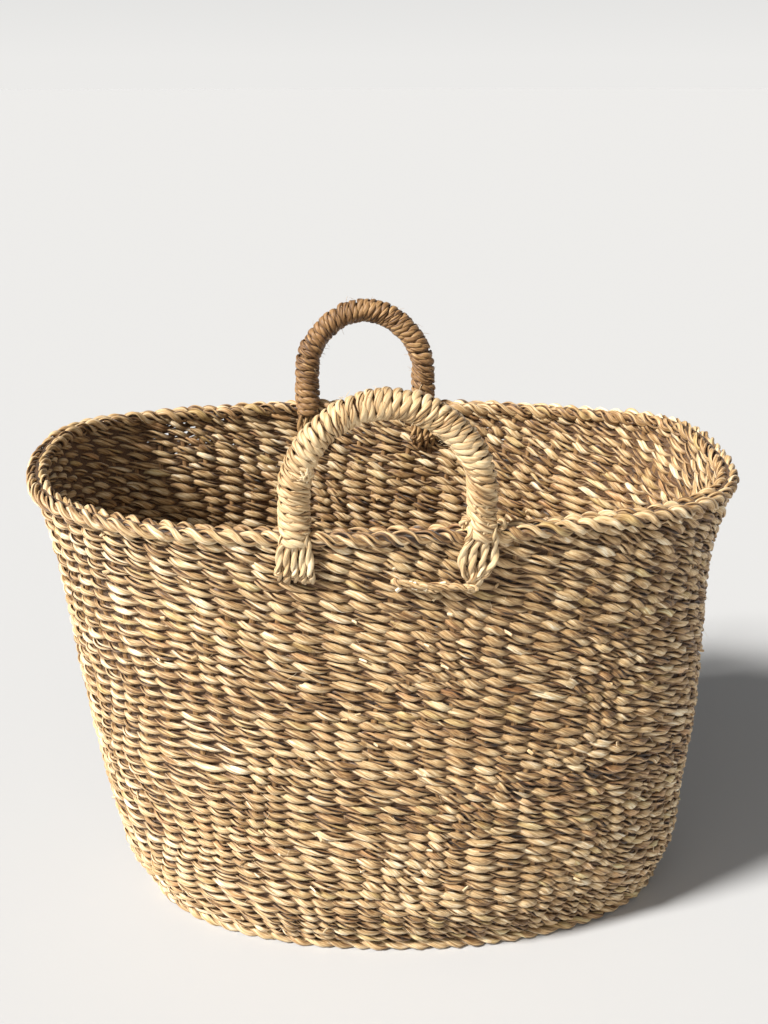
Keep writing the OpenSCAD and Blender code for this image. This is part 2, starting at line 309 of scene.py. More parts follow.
# ------------------------------------------------------------------ materials
def seagrass(name, ramp, red, green, fibre=1.0, rough=0.55, bump=0.0005, painted_shade_strength=0.80):
    mat = bpy.data.materials.new(name); mat.use_nodes = True
    nt = mat.node_tree; nd = nt.nodes; lk = nt.links
    for x in list(nd): nd.remove(x)
    out = nd.new("ShaderNodeOutputMaterial"); b = nd.new("ShaderNodeBsdfPrincipled")
    lk.new(b.outputs[0], out.inputs[0])
    at = nd.new("ShaderNodeAttribute"); at.attribute_name = "tint"; at.attribute_type = "GEOMETRY"
    sep = nd.new("ShaderNodeSeparateColor"); lk.new(at.outputs["Color"], sep.inputs[0])
    uv = nd.new("ShaderNodeUVMap"); uv.uv_map = "strand"
    suv = nd.new("ShaderNodeSeparateXYZ"); lk.new(uv.outputs[0], suv.inputs[0])
    def math_(op, a, bb, clamp=False):
        m = nd.new("ShaderNodeMath"); m.operation = op; m.use_clamp = clamp
        for i, val in enumerate((a, bb)):
            if val is None: continue
            if isinstance(val, (int, float)): m.inputs[i].default_value = val
            else: lk.new(val, m.inputs[i])
        return m.outputs[0]
    ang = math_("MULTIPLY", suv.outputs[1], TAU)
    cs, sn = math_("COSINE", ang, None), math_("SINE", ang, None)
    run = math_("ADD", suv.outputs[0], math_("MULTIPLY", sep.outputs[2], 3.7))
    def coords(su, rad, off):
        cb = nd.new("ShaderNodeCombineXYZ")
        lk.new(math_("MULTIPLY", cs, rad), cb.inputs[0])
        lk.new(math_("MULTIPLY", sn, rad), cb.inputs[1])
        lk.new(math_("ADD", math_("MULTIPLY", run, su), off), cb.inputs[2])
        return cb.outputs[0]
    def noise(vec, scale, detail, rough_=0.55, dist=0.0):
        n = nd.new("ShaderNodeTexNoise"); n.inputs["Scale"].default_value = scale; n.inputs["Detail"].default_value = detail
        n.inputs["Roughness"].default_value = rough_; n.inputs["Distortion"].default_value = dist
        lk.new(vec, n.inputs["Vector"]); return n.outputs["Fac"]
    # long thin fibres, broad streaks and small cross cells
    fib = noise(coords(80.0, 1.5, 0.0), 1.0, 3.0, 0.6, 0.3)
    fine = noise(coords(160.0, 4.6, 3.0), 1.0, 2.0, 0.6)
    blot = noise(coords(45.0, 0.5, 9.0), 1.0, 2.0)
    # tone 0..1 -> ramp
    t = math_("ADD", sep.outputs[0], math_("MULTIPLY", math_("SUBTRACT", fib, 0.5), 1.35 * fibre))
    t = math_("ADD", t, math_("MULTIPLY", math_("SUBTRACT", fine, 0.5), 0.75 * fibre))
    t = math_("ADD", t, math_("MULTIPLY", math_("SUBTRACT", blot, 0.5), 0.40))
    cr = nd.new("ShaderNodeValToRGB"); cr.color_ramp.interpolation = "LINEAR"
    els = cr.color_ramp.elements
    els[0].position = ramp[0][0]; els[0].color = (*ramp[0][1], 1)
    els[1].position = ramp[-1][0]; els[1].color = (*ramp[-1][1], 1)
    for p, c in ramp[1:-1]:
        e = els.new(p); e.color = (*c, 1)
    lk.new(t, cr.inputs[0])
    def mix(fac, a, c2):
        m = nd.new("ShaderNodeMix"); m.data_type = "RGBA"; m.blend_type = "MIX"
        lk.new(fac, m.inputs[0]); lk.new(a, m.inputs[6])
        if isinstance(c2, tuple): m.inputs[7].default_value = (*c2, 1)
        else: lk.new(c2, m.inputs[7])
        return m.outputs[2]
    def mixmul(fac, a, c2):
        m = nd.new("ShaderNodeMix"); m.data_type = "RGBA"; m.blend_type = "MULTIPLY"
        lk.new(fac, m.inputs[0]); lk.new(a, m.inputs[6]); m.inputs[7].default_value = (*c2, 1)
        return m.outputs[2]
    redf = math_("MULTIPLY", math_("SUBTRACT", 0.45, sep.outputs[1]), 1.9, True)
    grnf = math_("MULTIPLY", math_("SUBTRACT", sep.outputs[1], 0.55), 2.4, True)
    col = mixmul(redf, cr.outputs[0], red)
    col = mixmul(grnf, col, green)
    # painted shade: the tint's alpha (painted_shade) darkens the colour towards dark brown in grooves and creases,
    # scaled by painted_shade_strength
    painted_shade_fac = math_("MULTIPLY", at.outputs["Alpha"], painted_shade_strength, True)
    col = mixmul(painted_shade_fac, col, (0.31, 0.225, 0.14))
    lk.new(col, b.inputs["Base Color"])
    rr = math_("ADD", math_("MULTIPLY", fib, -0.22), rough + 0.11)
    lk.new(rr, b.inputs["Roughness"])
    b.inputs["Specular IOR Level"].default_value = 0.5
    b.inputs["Sheen Weight"].default_value = 0.12
    b.inputs["Sheen Roughness"].default_value = 0.5
    h = math_("ADD", math_("MULTIPLY", fib, 0.7), math_("MULTIPLY", fine, 0.3))
    bp = nd.new("ShaderNodeBump"); bp.inputs["Strength"].default_value = 0.9; bp.inputs["Distance"].default_value = bump
    lk.new(h, bp.inputs["Height"]); lk.new(bp.outputs[0], b.inputs["Normal"])
    return mat

def lin(*c):
    return tuple(((x / 255) / 12.92 if x / 255 <= 0.04045 else ((x / 255 + 0.055) / 1.055) ** 2.4) for x in c)

STRAW = [(0.0, lin(56, 37, 19)), (0.25, lin(136, 99, 57)), (0.5, lin(193, 158, 109)), (0.75, lin(226, 199, 154)), (1.0, lin(252, 241, 216))]
PALE = [(0.0, lin(84, 58, 30)), (0.3, lin(168, 130, 82)), (0.55, lin(210, 179, 132)), (0.8, lin(234, 210, 168)), (1.0, lin(250, 236, 206))]
BROWN = [(0.0, lin(70, 46, 24)), (0.3, lin(118, 84, 48)), (0.55, lin(152, 114, 70)), (0.8, lin(184, 148, 98)), (1.0, lin(214, 184, 138))]
DARK = [(0.0, lin(56, 38, 20)), (0.4, lin(104, 74, 42)), (0.7, lin(140, 104, 62)), (1.0, lin(176, 140, 92))]
RED, GREEN = (0.94, 0.68, 0.52), (0.86, 0.90, 0.64)
M_WALL = seagrass("seagrass_weave", STRAW, RED, GREEN)
M_ROPE = seagrass("seagrass_rope", STRAW, RED, GREEN, bump=0.00028)
M_PALE = seagrass("seagrass_cord_pale", PALE, RED, GREEN, fibre=0.75, rough=0.52, bump=0.0004, painted_shade_strength=0.84)
M_BROWN = seagrass("seagrass_cord_brown", BROWN, RED, GREEN, fibre=0.8, bump=0.0004, painted_shade_strength=0.84)
M_STAKE = seagrass("seagrass_stake", DARK, RED, GREEN, painted_shade_strength=0.2)

def place(ob, body, slot_name, *nodes):
    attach(ob, body)
    if nodes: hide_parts(*nodes)
    return ob

# ------------------------------------------------------------------ twined wall
def row_heights():
    z, out = 14.2, []
    while z < H - RIM_H - 2.5:
        out.append(z); z += 8.9 - 1.25 * (z / H)
    out = np.array(out)
    return 14.2 + (out - 14.2) * ((H - RIM_H - 0.4 - 14.2) / (out[-1] - 14.2))
ROWS = row_heights()

PER = 9
def stake_drift(k, z):
    return waves(k, z, 31, 6, 11, 120, 0.30) + waves(k, z, 32, 6, 22, 40, 0.07)

def wall_row(piece, r, z0, tails):
    rng = np.random.default_rng(1000 + r)
    n = N_STAKE * PER
    q = np.arange(n) / PER
    uu = (q + stake_drift(q / N_STAKE, z0)) / N_STAKE
    lift = waves(uu, z0, 21, 6, 7, 160, 1.5) + waves(uu, z0, 22, 6, 20, 60, 0.5) + 0.5 * pnoise(q / N_STAKE, 34, 2000 + r)
    lift = lift * np.clip(min(z0, H - RIM_H - z0 + 6) / 40, 0.15, 1) + dip(uu) * (z0 / H) ** 2
    tz = z0 / H
    lift = lift - 15.0 * near(uu, 0.54, 0.085) * 4 * tz * (1 - tz)
    rib = near(uu, 0.565, 0.12)                     # round the left end the rows lie flatter and the stakes show as ribs
    qj = q + (0.24 * pnoise(q / N_STAKE, 40, 2600 + r) + rng.uniform(-0.22, 0.22)) * (1 - 0.8 * rib)
    for s in (0, 1):
        # seen from outside a strand lies in front for a little more than one gap between stakes, slanting down to the right,
        # and climbs back behind the next stake
        pp = (qj + s + 1.0) % 2.0 - 1.0
        ap = np.abs(pp)
        off_u = np.sign(pp) * np.where(ap < 0.54, -ap / 0.54, -1 + (ap - 0.54) / 0.46)
        k3 = np.array([0.25, 0.5, 0.25])
        off_u = np.convolve(np.concatenate([off_u[-1:], off_u, off_u[:1]]), k3, "same")[1:-1]
        wq = np.where(ap < 0.53, ap * 0.5 / 0.53, 0.5 + (ap - 0.53) * 0.5 / 0.47)
        cn = np.cos(math.pi * wq)
        kk = 1.15 - 0.85 * rib
        cn = np.tanh(kk * cn) / np.tanh(kk)
        off_n = (2.5 + 0.9 * rib + 0.45 * pnoise(q / N_STAKE, 60, 3000 + 2 * r + s)) * cn
        a_u = 2.95 + 0.95 * min(max((z0 - 270) / 90, 0), 1) + 0.6 * pnoise(q / N_STAKE, 44, 4000 + 2 * r + s)
        off_u = a_u * (1 - 0.45 * rib) * off_u + lift + 0.40 * pnoise(q / N_STAKE, 68, 4500 + 2 * r + s)
        front = np.clip(1 - (np.minimum(ap, 1 - ap) / 0.5) ** 2, 0, 1)
        open_ = near(uu, 0.375, 0.02) * math.exp(-((z0 - H + 24) / 9) ** 2)
        size = 1 + 0.10 * pnoise(q / N_STAKE, 50, 5000 + 2 * r + s) + 0.05 * pnoise(q / N_STAKE, 160, 5200 + 2 * r + s)
        rn = size * (2.05 + 0.25 * front - 0.25 * rib)
        ru = size * (2.3 + 1.35 * front) * (1 - 0.22 * open_ - 0.30 * rib)
        zz = z0 + off_u
        p, nn, tt, up = wall(uu, zz)
        c = p + nn * (off_n - WALL_T / 2 + sag(uu, zz) + 1.1 * min(max((z0 - H + 34) / 16, 0), 1) * np.clip(cn, 0, 1))[:, None]
        turns = 25 + int(rng.integers(-5, 6))
        on = off_n[:, None]
        # painted shade: groove_shade darkens the strands towards the wall's mid-plane, in the grooves between strands
        groove_shade = lambda A, B: np.clip(1 - (np.abs(on + A) - 1.3) / 2.7, 0, 1)
        # tone0 paints light: the left end (rib) lighter as it faces the key light, and the top rows under the rim
        # lighter against the rim's shadow; it also makes the rows low down and round u = 0.93 a little lighter
        got = plies(piece, c, nn, rn, ru, q, N_STAKE, rng, turns, count=2 + int(rng.random() < 0.30), groove_shade=groove_shade, phase=rng.uniform(0, TAU), radial=0.40, broad=0.86, fold=0.36, rough=1.25, shade=0.39,
                    tone0=0.10 * rib + 0.035 * min(max((z0 - 320) / 40, 0), 1) + 0.03 * min(max((150 - z0) / 60, 0), 1) + 0.03 * near(uu, 0.93, 0.07))
        tails += [(r, s, x, tn, hu) for x, tn, hu in got]

tails = []
ROWS_PER = 4
wall_parts = []
n_groups = int(math.ceil(len(ROWS) / ROWS_PER))
for g in range(n_groups):
    pc = Piece()
    for r in range(g * ROWS_PER, min((g + 1) * ROWS_PER, len(ROWS))):
        wall_row(pc, r, float(ROWS[r]), tails)
    ob = pc.build("wall_rows_%02d" % (g + 1), M_WALL)
    wall_parts.append(ob)
    zc = ROWS[min(g * ROWS_PER + ROWS_PER // 2, len(ROWS) - 1)]
    node = "wall_weft_lower" if zc < 138 else ("wall_weft_middle" if zc < 264 else "wall_weft_upper")
    place(ob, "basket", "seagrass_weft", node)

# ------------------------------------------------------------------ stakes
def stakes(name, ks, node):
    pc = Piece()
    for k in ks:
        rng = np.random.default_rng(7000 + k)
        z = np.linspace(11, H - 6, 64)
        uu = (k + stake_drift(np.full_like(z, k / N_STAKE), z)) / N_STAKE
        p, nn, tt, up = wall(uu, z)
        c = p + nn * (-WALL_T / 2 + sag(uu, z))[:, None]
        # painted shade: painted_shade=0.35 darkens the stakes, which sit inside the weave
        tube(pc, c, nn, 1.7, 2.5, m=8, tone=rng.uniform(0.5, 0.8), hue=0.5, seed=rng.random(), painted_shade=0.35)
    ob = pc.build(name, M_STAKE)
    place(ob, "basket", "seagrass_stake", node)
    return ob

ends = [k for k in range(N_STAKE) if min(k, N_STAKE - k) <= 5 or abs(k - N_STAKE // 2) <= 5]
stakes("stakes_long", ends, "long_stakes")
stakes("stakes_cross", [k for k in range(N_STAKE) if k not in ends], "cross_stakes")

# ------------------------------------------------------------------ ropes round the rim and the foot
def rope(piece, path, n_len, turns, hn, hu, rn, ru, seed, strands=2, tone0=0.0, z_wob=0.6, painted_shade0=0.0, count=3, ply_turns=0.55, cut=(3, 9), rough=1.0):
    """A twisted rope on a closed path. path(q)->(points, ref axis, up axis) for q in [0,1)."""
    q = np.arange(n_len) / n_len
    c0, nn, up = path(q)
    for s in range(strands):
        rng = np.random.default_rng(seed + s)
        w = -(TAU * turns * q + TAU * s / strands) + 0.45 * pnoise(q, 26, seed + 40)
        hn_ = hn * (1 + 0.12 * pnoise(q, 40, seed + 50 + s)); hu_ = hu * (1 + 0.14 * pnoise(q, 40, seed + 60 + s))
        off = nn * (hn_ * np.cos(w))[:, None] + up * (hu_ * np.sin(w) + z_wob * pnoise(q, 30, seed + 70))[:, None]
        size = 1 + 0.08 * pnoise(q, 60, seed + 80 + s) + 0.05 * pnoise(q, 150, seed + 85 + s)
        A0, B0 = (hn_ * np.cos(w))[:, None], (-hu_ * np.sin(w))[:, None]
        RA, RB = hn + rn, hu + ru
        # painted shade: groove_shade darkens the strands towards the rope's centre, where they press together
        groove_shade = lambda A, B, A0=A0, B0=B0: np.clip(1 - (np.hypot((A0 + A) / RA, (B0 + B) / RB) - 0.35) / 0.5, 0, 1)
        plies(piece, c0 + off, nn, rn * size, ru * size, q * turns * 2, turns * 2, rng, int(round(turns * ply_turns)), count=count, cut=cut,
              tone0=tone0, painted_shade=painted_shade0, groove_shade=groove_shade, phase=rng.uniform(0, TAU), shade=0.32, rough=rough, fold=0.30, radial=0.42, broad=0.84)

_rx, _ry, _rl = oval_even(RIM_A, RIM_B, float(expo(H)), NU)
def rim_path(inset, zc, seed):
    a, b = RIM_A - inset, RIM_B - inset
    x, y, L = oval_even(a, b, float(expo(H)), NU)
    def f(q):
        g = np.arange(NU + 1) / NU
        xx = np.interp(q % 1, g, np.append(x, x[0])); yy = np.interp(q % 1, g, np.append(y, y[0]))
        e = 1.5 / NU
        tx = np.interp((q + e) % 1, g, np.append(x, x[0])) - np.interp((q - e) % 1, g, np.append(x, x[0]))
        ty = np.interp((q + e) % 1, g, np.append(y, y[0])) - np.interp((q - e) % 1, g, np.append(y, y[0]))
        t = np.stack([tx, ty, 0 * tx], -1); t /= np.linalg.norm(t, axis=1, keepdims=True)
        up = np.zeros_like(t); up[:, 2] = 1
        nn = np.cross(t, up)
        w = sag(q, np.full_like(q, H - 8))
        p = np.stack([xx, yy, np.full_like(xx, zc)], -1) + nn * w[:, None] + up * (dip(q) + waves(q, 0 * q, seed, 5, 6, 100, 0.8))[:, None]
        return p, nn, up
    return f, L

fo, Lo = rim_path(4.1, H - 6.6, 301)
fi_, Li = rim_path(12.4, H - 6.3, 301)
pc = Piece(); rope(pc, fo, 1950, 50, 1.9, 2.95, 2.55, 3.35, 8100, count=2, rough=1.7, tone0=0.04)
place(pc.build("rim_rope_outer_twist", M_ROPE), "basket", "seagrass_rope", "rim_rope_outer")
pc = Piece(); rope(pc, fi_, 1950, 52, 1.9, 3.0, 2.55, 3.35, 8200, count=2, rough=1.7, tone0=-0.02)
place(pc.build("rim_rope_inner_twist", M_ROPE), "basket", "seagrass_rope", "rim_rope_inner")

def rim_fill():
    """The bundle between the two rim ropes, following them round."""
    f, L = rim_path(8.2, H - 7.4, 301)
    q = np.arange(720) / 720
    p, nn, up = f(q)
    # painted shade: painted_shade=0.8 darkens the bundle where it lies between the ropes
    pc = Piece(); tube(pc, p, nn, 3.4, 4.6, m=10, closed=True, tone=0.2, hue=0.5, seed=0.3, painted_shade=0.8)
    place(pc.build("rim_bundle", M_STAKE), "basket", "seagrass_stake", "rim_core")
rim_fill()

def foot_path(q):
    a, b = float(half_a(FOOT_H)) - FOOT_W / 2, float(half_b(FOOT_H)) - FOOT_W / 2
    x, y, L = oval_even(a, b, float(expo(0)), NU)
    g = np.arange(NU + 1) / NU
    xx = np.interp(q, g, np.append(x, x[0])) + LEAN; yy = np.interp(q, g, np.append(y, y[0]))
    p = np.stack([xx, yy, np.full_like(xx, 5.1)], -1)
    t = np.roll(p, -1, 0) - np.roll(p, 1, 0); t /= np.linalg.norm(t, axis=1, keepdims=True)
    up = np.zeros_like(t); up[:, 2] = 1
    return p, np.cross(t, up), up
pc = Piece(); rope(pc, foot_path, 1400, 34, 2.2, 1.9, 2.8, 2.75, 8300, z_wob=0.1, rough=1.3)
place(pc.build("foot_rope_twist", M_ROPE), "basket", "seagrass_rope", "foot_rope")

# ------------------------------------------------------------------ floor
def floor_rows(lo, hi):
    pc = Piece()
    a0, b0 = float(half_a(FOOT_H)) - FOOT_W - 1.0, float(half_b(FOOT_H)) - FOOT_W - 1.0
    pitch = 8.6
    for i in range(lo, hi):
        d = 3.0 + i * pitch
        a, b = a0 - d, max(b0 - d, 1.6)
        if b0 - d < 1.0: break
        x, y, L = oval_even(a, b, 2.08, NU)
        cnt = max(8, int(round(L / 19.0 / 2)) * 2)
        n = cnt * 8
        q = np.arange(n) / n
        g = np.arange(NU + 1) / NU
        xx = np.interp(q, g, np.append(x, x[0])) + LEAN; yy = np.interp(q, g, np.append(y, y[0]))
        p = np.stack([xx, yy, np.full_like(xx, 4.15)], -1)
        t = np.roll(p, -1, 0) - np.roll(p, 1, 0); t /= np.linalg.norm(t, axis=1, keepdims=True) + 1e-9
        up = np.zeros_like(t); up[:, 2] = 1
        out = np.cross(t, up)
        for s in (0, 1):
            rng = np.random.default_rng(9000 + 2 * i + s)
            ph = math.pi * (q * cnt + s)
            cn = np.tanh(1.25 * np.cos(ph)) / math.tanh(1.25)
            c = p + up * (2.25 * cn)[:, None] + out * (1.9 * np.sin(ph) + 0.5 * pnoise(q, max(cnt // 2, 3), 9100 + i))[:, None]
            fr = np.abs(np.cos(ph))
            # painted shade: groove_shade darkens the strands towards the base's mid-plane
            plies(pc, c, up, 1.45 + 0.25 * fr, 2.7 + 1.0 * fr, q * cnt, cnt, rng, max(int(round(cnt * 0.28)), 1), groove_shade=lambda A, B, o_=(2.25 * cn)[:, None]: np.clip(1 - (np.abs(o_ + A) - 1.0) / 2.2, 0, 1), tone0=-0.04)
    return pc
place(floor_rows(0, 5).build("floor_rows_outer", M_WALL), "basket", "seagrass_weft", "base_mat")
place(floor_rows(5, 30).build("floor_rows_inner", M_WALL), "basket", "seagrass_weft", "base_mat")

# ------------------------------------------------------------------ handles
def rim_y(x, d):
    n = float(expo(H))
    return (RIM_B - d) * (1 - (abs(x) / (RIM_A - d)) ** n) ** (1 / n)

def arch_path(w, h, splay=0.0, narrow=0.0):
    r = (w - 2 * GRIP_R) / 2
    leg = h - w / 2 - GRIP_R - 0.3
    def f(s):
        """s in mm along the arch from the left foot; returns point, tangent, outward in-plane normal (x, z)."""
        s = np.asarray(s, float)
        arc = math.pi * r
        x = np.where(s < leg, -r, np.where(s > leg + arc, r, -r * np.cos((s - leg) / r)))
        z = np.where(s < leg, s, np.where(s > leg + arc, leg - (s - leg - arc), leg + r * np.sin(np.clip((s - leg) / r, 0, math.pi))))
        a = np.clip((s - leg) / r, 0, math.pi)
        x = x * (1 + splay * np.clip(1 - z / (leg + 0.8 * r), 0, 1) - narrow * np.sin(a) ** 1.5)
        t = np.stack([np.sin(a), 0 * a, np.cos(a)], -1)
        e1 = np.stack([-np.cos(a), 0 * a, np.sin(a)], -1)
        return np.stack([x, 0 * x, z], -1), t, e1
    return f, r, leg, 2 * leg + math.pi * r

def handle_matrix(hd):
    """Local handle frame (hinge axis along X, legs along Z) to the row frame."""
    r = (hd["w"] - 2 * GRIP_R) / 2
    ang = math.radians(-hd["side"] * LEAN_DEG)
    c, s = math.cos(ang), math.sin(ang)
    R = np.array([[1, 0, 0], [0, c, -s], [0, s, c]])
    o = np.array([hd["x"], hd["side"] * rim_y(r, ROPE_W), H + GRIP_R + 0.3])
    return R, o

def small_loops(piece, r, R, o, tone0):
    """Two little loops of the cord that stand out beside the foot of a leg."""
    for k, (dx, dz, h_, turn) in enumerate(((-10.5, -9.0, 5.0, 0.5), (11.5, -10.5, 4.5, -0.6))):
        rng = np.random.default_rng(640 + k)
        n = 30
        a = np.linspace(-0.5, math.pi + 0.5, n)
        x = r * 1.03 + dx + np.sign(dx) * 3.4 * np.sin(a)
        z = dz + h_ * -np.cos(a) * 0.8
        y = -6.5 + 2.0 * np.cos(a * turn)
        c = np.stack([x, y, z], -1) @ R.T + o
        ref = np.tile(np.array([[0.0, -1.0, 0.2]]), (n, 1))
        t, aa, bb = frames(c, False, ref)
        for ply in (0, 1):
            om = TAU * np.linspace(0, 1.6, n) + math.pi * ply
            cc = c + aa * (0.8 * np.cos(om))[:, None] + bb * (0.9 * np.sin(om))[:, None]
            plies(piece, cc, ref, 1.25, 1.35, np.linspace(0, 5, n), 5, rng, 0.8, count=2, closed=False, cut=(8, 9), tone0=tone0, radial=0.3, broad=0.9, calm=0.4, knots=3)

def wrap(name, hd, material, seed, tone0, slot_name):
    f, r, leg, L = arch_path(hd["w"], hd["h"], hd["splay"], hd["narrow"])
    R, o = handle_matrix(hd)
    side = hd["side"]
    pitch = 5.9
    s_lo, s_hi = -20.5, L + 22.0
    turns = (s_hi - s_lo) / pitch
    steps = 46
    n = int(turns * steps)
    x = np.arange(n) / steps                       # turn count
    fr = x % 1.0; tn = np.floor(x)
    jog = np.clip((fr - 0.78) / 0.22, 0, 1); jog = jog * jog * (3 - 2 * jog)
    g = 0.40 * fr + 0.60 * jog
    s = s_lo + pitch * (tn + g + 0.16 * pnoise(x / turns, 60, seed + 7)) + 0.3 * pnoise(x / turns, 90, seed)
    # the crossing line wanders from the outer side of the left leg to the inner side of the arch
    spine = np.interp(s / L, [0, 0.25, 0.5, 0.8, 1.0], [0.10, 0.25, 0.5, 0.62, 0.70]) * TAU
    psi = TAU * (fr - 0.9) + spine
    p, t, e1 = f(np.clip(s, 0, L))
    below = np.minimum(s, 0) + np.minimum(L - s, 0)
    p = p + np.stack([0 * s, 0 * s, below], -1)
    e2 = np.zeros_like(e1); e2[:, 1] = 1.0
    rad = np.cos(psi)[:, None] * e1 + np.sin(psi)[:, None] * e2
    bump = 0.9 * np.exp(-((fr - 0.9) / 0.07) ** 2)
    fat = 0.9 * np.exp(-((s - 12) / 32) ** 2) + 0.3 * np.exp(-((s - L + 4) / 14) ** 2)
    RC = 8.45 + fat
    grow = 3.3 * np.clip((-below - 4) / 10, 0, 1) ** 1.3
    sq = 1 / (np.abs(np.cos(psi)) ** 3 + np.abs(np.sin(psi)) ** 3) ** (1 / 3)
    sq = 1 + (sq - 1) * np.clip((-below - 1) / 7, 0, 1)
    c0 = p + e2 * (np.sin(psi) * grow)[:, None] + rad * (sq * RC + bump + 0.35 * pnoise(x / turns, 260, seed + 1) + 0.45 * pnoise(x / turns, 40, seed + 2))[:, None]
    seg = along(c0, False)[0]
    pcs = {"top": Piece(), "left": Piece(), "right": Piece()}
    cutL, cutR = 3.0, L - 3.0
    rng_parts = []
    for nm, sel in (("left", s < cutL), ("top", (s >= cutL) & (s <= cutR)), ("right", s > cutR)):
        ii = np.where(sel)[0]
        i0, i1 = max(ii[0] - 1, 0), min(ii[-1] + 2, n)
        rng_parts.append((pcs[nm], slice(i0, i1)))
    ends_ = np.ones(n); ends_[:10] = np.linspace(0.3, 1, 10); ends_[-10:] = np.linspace(1, 0.3, 10)
    world0 = c0 @ R.T + o
    ref = rad @ R.T; tw = t @ R.T
    for k in (0, 1):
        rng = np.random.default_rng(seed + 10 + k)
        om = TAU * seg / 21.5 + math.pi * k + 0.7 * pnoise(x / turns, 70, seed + 3)
        c = world0 + ref * (0.80 * np.cos(om))[:, None] + tw * (1.35 * np.sin(om))[:, None]
        size = (1 + 0.09 * pnoise(x / turns, 300, seed + 5 + k)) * ends_
        front = np.clip(np.cos(om), 0, 1)
        # painted shade: groove_shade darkens each ply towards the handle's core
        plies(None, c, ref, 1.5 * size, (2.2 + 0.35 * front) * size, x, turns, rng, seg[-1] / 60.0, count=2, closed=False, cut=(2, 6), tone0=tone0,
              groove_shade=lambda A, B, o_=(0.8 * np.cos(om))[:, None]: np.clip((1.05 - (o_ + A)) / 1.8, 0, 1), radial=0.27, broad=0.92, shade=0.30, calm=0.45, knots=6, parts=rng_parts, rough=0.8)
    if name == "front": small_loops(pcs["right"], r, R, o, tone0)
    body = name + "_handle"
    top = pcs["top"].build(name + "_wrap_cord", material)
    place(top, body, slot_name, name + "_handle_wrap")
    for nm in ("left", "right"):
        ob = pcs[nm].build(name + "_collar_" + nm, material)
        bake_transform(ob)
    return f, r, leg, L, R, o

CORE = {}
for nm, hd in HANDLES.items():
    mt = M_PALE if nm == "front" else M_BROWN
    CORE[nm] = wrap(nm, hd, mt, 500 if nm == "front" else 700, 0.035 if nm == "front" else -0.07, "seagrass_wrap_pale" if nm == "front" else "seagrass_wrap_brown")

def curve_pts(pts, n):
    """Smooth curve through a few points (Catmull-Rom), n samples."""
    P = np.array(pts, float)
    P = np.vstack([2 * P[0] - P[1], P, 2 * P[-1] - P[-2]])
    t = np.linspace(0, len(P) - 3 - 1e-6, n); i = t.astype(int); f = (t - i)[:, None]
    p0, p1, p2, p3 = P[i], P[i + 1], P[i + 2], P[i + 3]
    return 0.5 * ((2 * p1) + (-p0 + p2) * f + (2 * p0 - 5 * p1 + 4 * p2 - p3) * f ** 2 + (-p0 + 3 * p1 - 3 * p2 + p3) * f ** 3)

def wall_at(x, z, side):
    """u of the wall point on the front or back at a given x."""
    uu = np.linspace(0.5, 1.0, 2001) if side < 0 else np.linspace(0.0, 0.5, 2001)
    xs = _look(_wx, uu, np.full_like(uu, z))
    return float(uu[np.argmin(np.abs(xs - x))])

def root(nm, lr, face, plan, material, node, fat=1.0):
    """The stems of a handle's core where they leave the wrapping, pass over the rim and go into the weave."""
    hd = HANDLES[nm]; side = hd["side"]
    f, r, leg, L, R, o = CORE[nm]
    pc = Piece()
    xc = hd["x"] + lr * r * (1 + hd["splay"])
    cnt = len(plan)
    for k, (x0, x1, x2, zb, tone) in enumerate(plan):
        rng = np.random.default_rng(12000 + k + int(lr) * 7 + (50 if face > 0 else 90) + (500 if nm == "back" else 0))
        xt, xo = x0 * 0.70, x0 * 0.80
        top = np.array([xc + xt, o[1] + side * face * math.sqrt(6.3 ** 2 - xt ** 2), o[2] + 9.0])
        dz = float(dip(np.array([wall_at(xc, H - 4, side)]))[0])
        over = np.array([xc + xo, o[1] + side * face * math.sqrt(7.6 ** 2 - xo ** 2), H + 3.0 + dz * 0.5])
        yr = rim_y(xc + x0, 0) if face > 0 else rim_y(xc + x0, 2 * ROPE_W)
        rim = np.array([xc + x0 * 0.92, side * (yr - face * 0.2), H - 5.0 + dz])
        pts = [top, over, rim]
        for zz, xx, lift in ((H - 14, x0 + (x1 - x0) * 0.5, 1.6), (H - 26, x1, 1.9), ((H - 26 + zb) / 2, (x1 + x2) / 2, 1.5), (zb + 4, x2, 0.2), (zb - 3, x2, -3.5)):
            u = wall_at(xc + xx, zz, side)
            p, n_, t_, up_ = wall(np.array([u]), np.array([zz]))
            d = (lift + 1.6) if face > 0 else (-WALL_T - lift - 1.6)
            pts.append(p[0] + n_[0] * (d + float(sag(np.array([u]), np.array([zz]))[0])))
        n = 56
        c = curve_pts(pts, n)
        ref = np.tile(np.array([[0.0, side * face * 1.0, 0.15]]), (n, 1))
        q = np.linspace(0, 1, n)
        size = fat * (1 + 0.10 * pnoise(q * 0.97, 9, 13000 + k + rng.integers(1000)))
        end = np.interp(q, [0, 0.9, 1], [1, 1, 0.6])
        t, a, b = frames(c, False, ref)
        lay = TAU * q * rng.uniform(2.3, 3.1) + rng.uniform(0, TAU)
        for ply in (0, 1):
            om = lay + math.pi * ply
            cc = c + a * (0.95 * fat * np.cos(om))[:, None] + b * (1.12 * fat * np.sin(om) * end)[:, None]
            # painted shade: each ply is darker where it turns behind the other, towards the wall, and darker near its
            # end where it goes into the weave
            plies(pc, cc, ref, 1.7 * size * end, 1.9 * size * end, q * 6, 6, rng, 1.0, count=2, closed=False, cut=(8, 9), tone0=tone - 0.56,
                  radial=0.32, broad=0.88, shade=0.30, calm=0.5, knots=3, painted_shade=0.55 * np.clip(-np.cos(om), 0, 1) + 0.5 * np.clip((q - 0.88) / 0.1, 0, 1))
    ob = pc.build("%s_root_%s_%s_stems" % (nm, "outer" if face > 0 else "inner", "left" if lr < 0 else "right"), material)
    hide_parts(node)
    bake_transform(ob)
    return ob

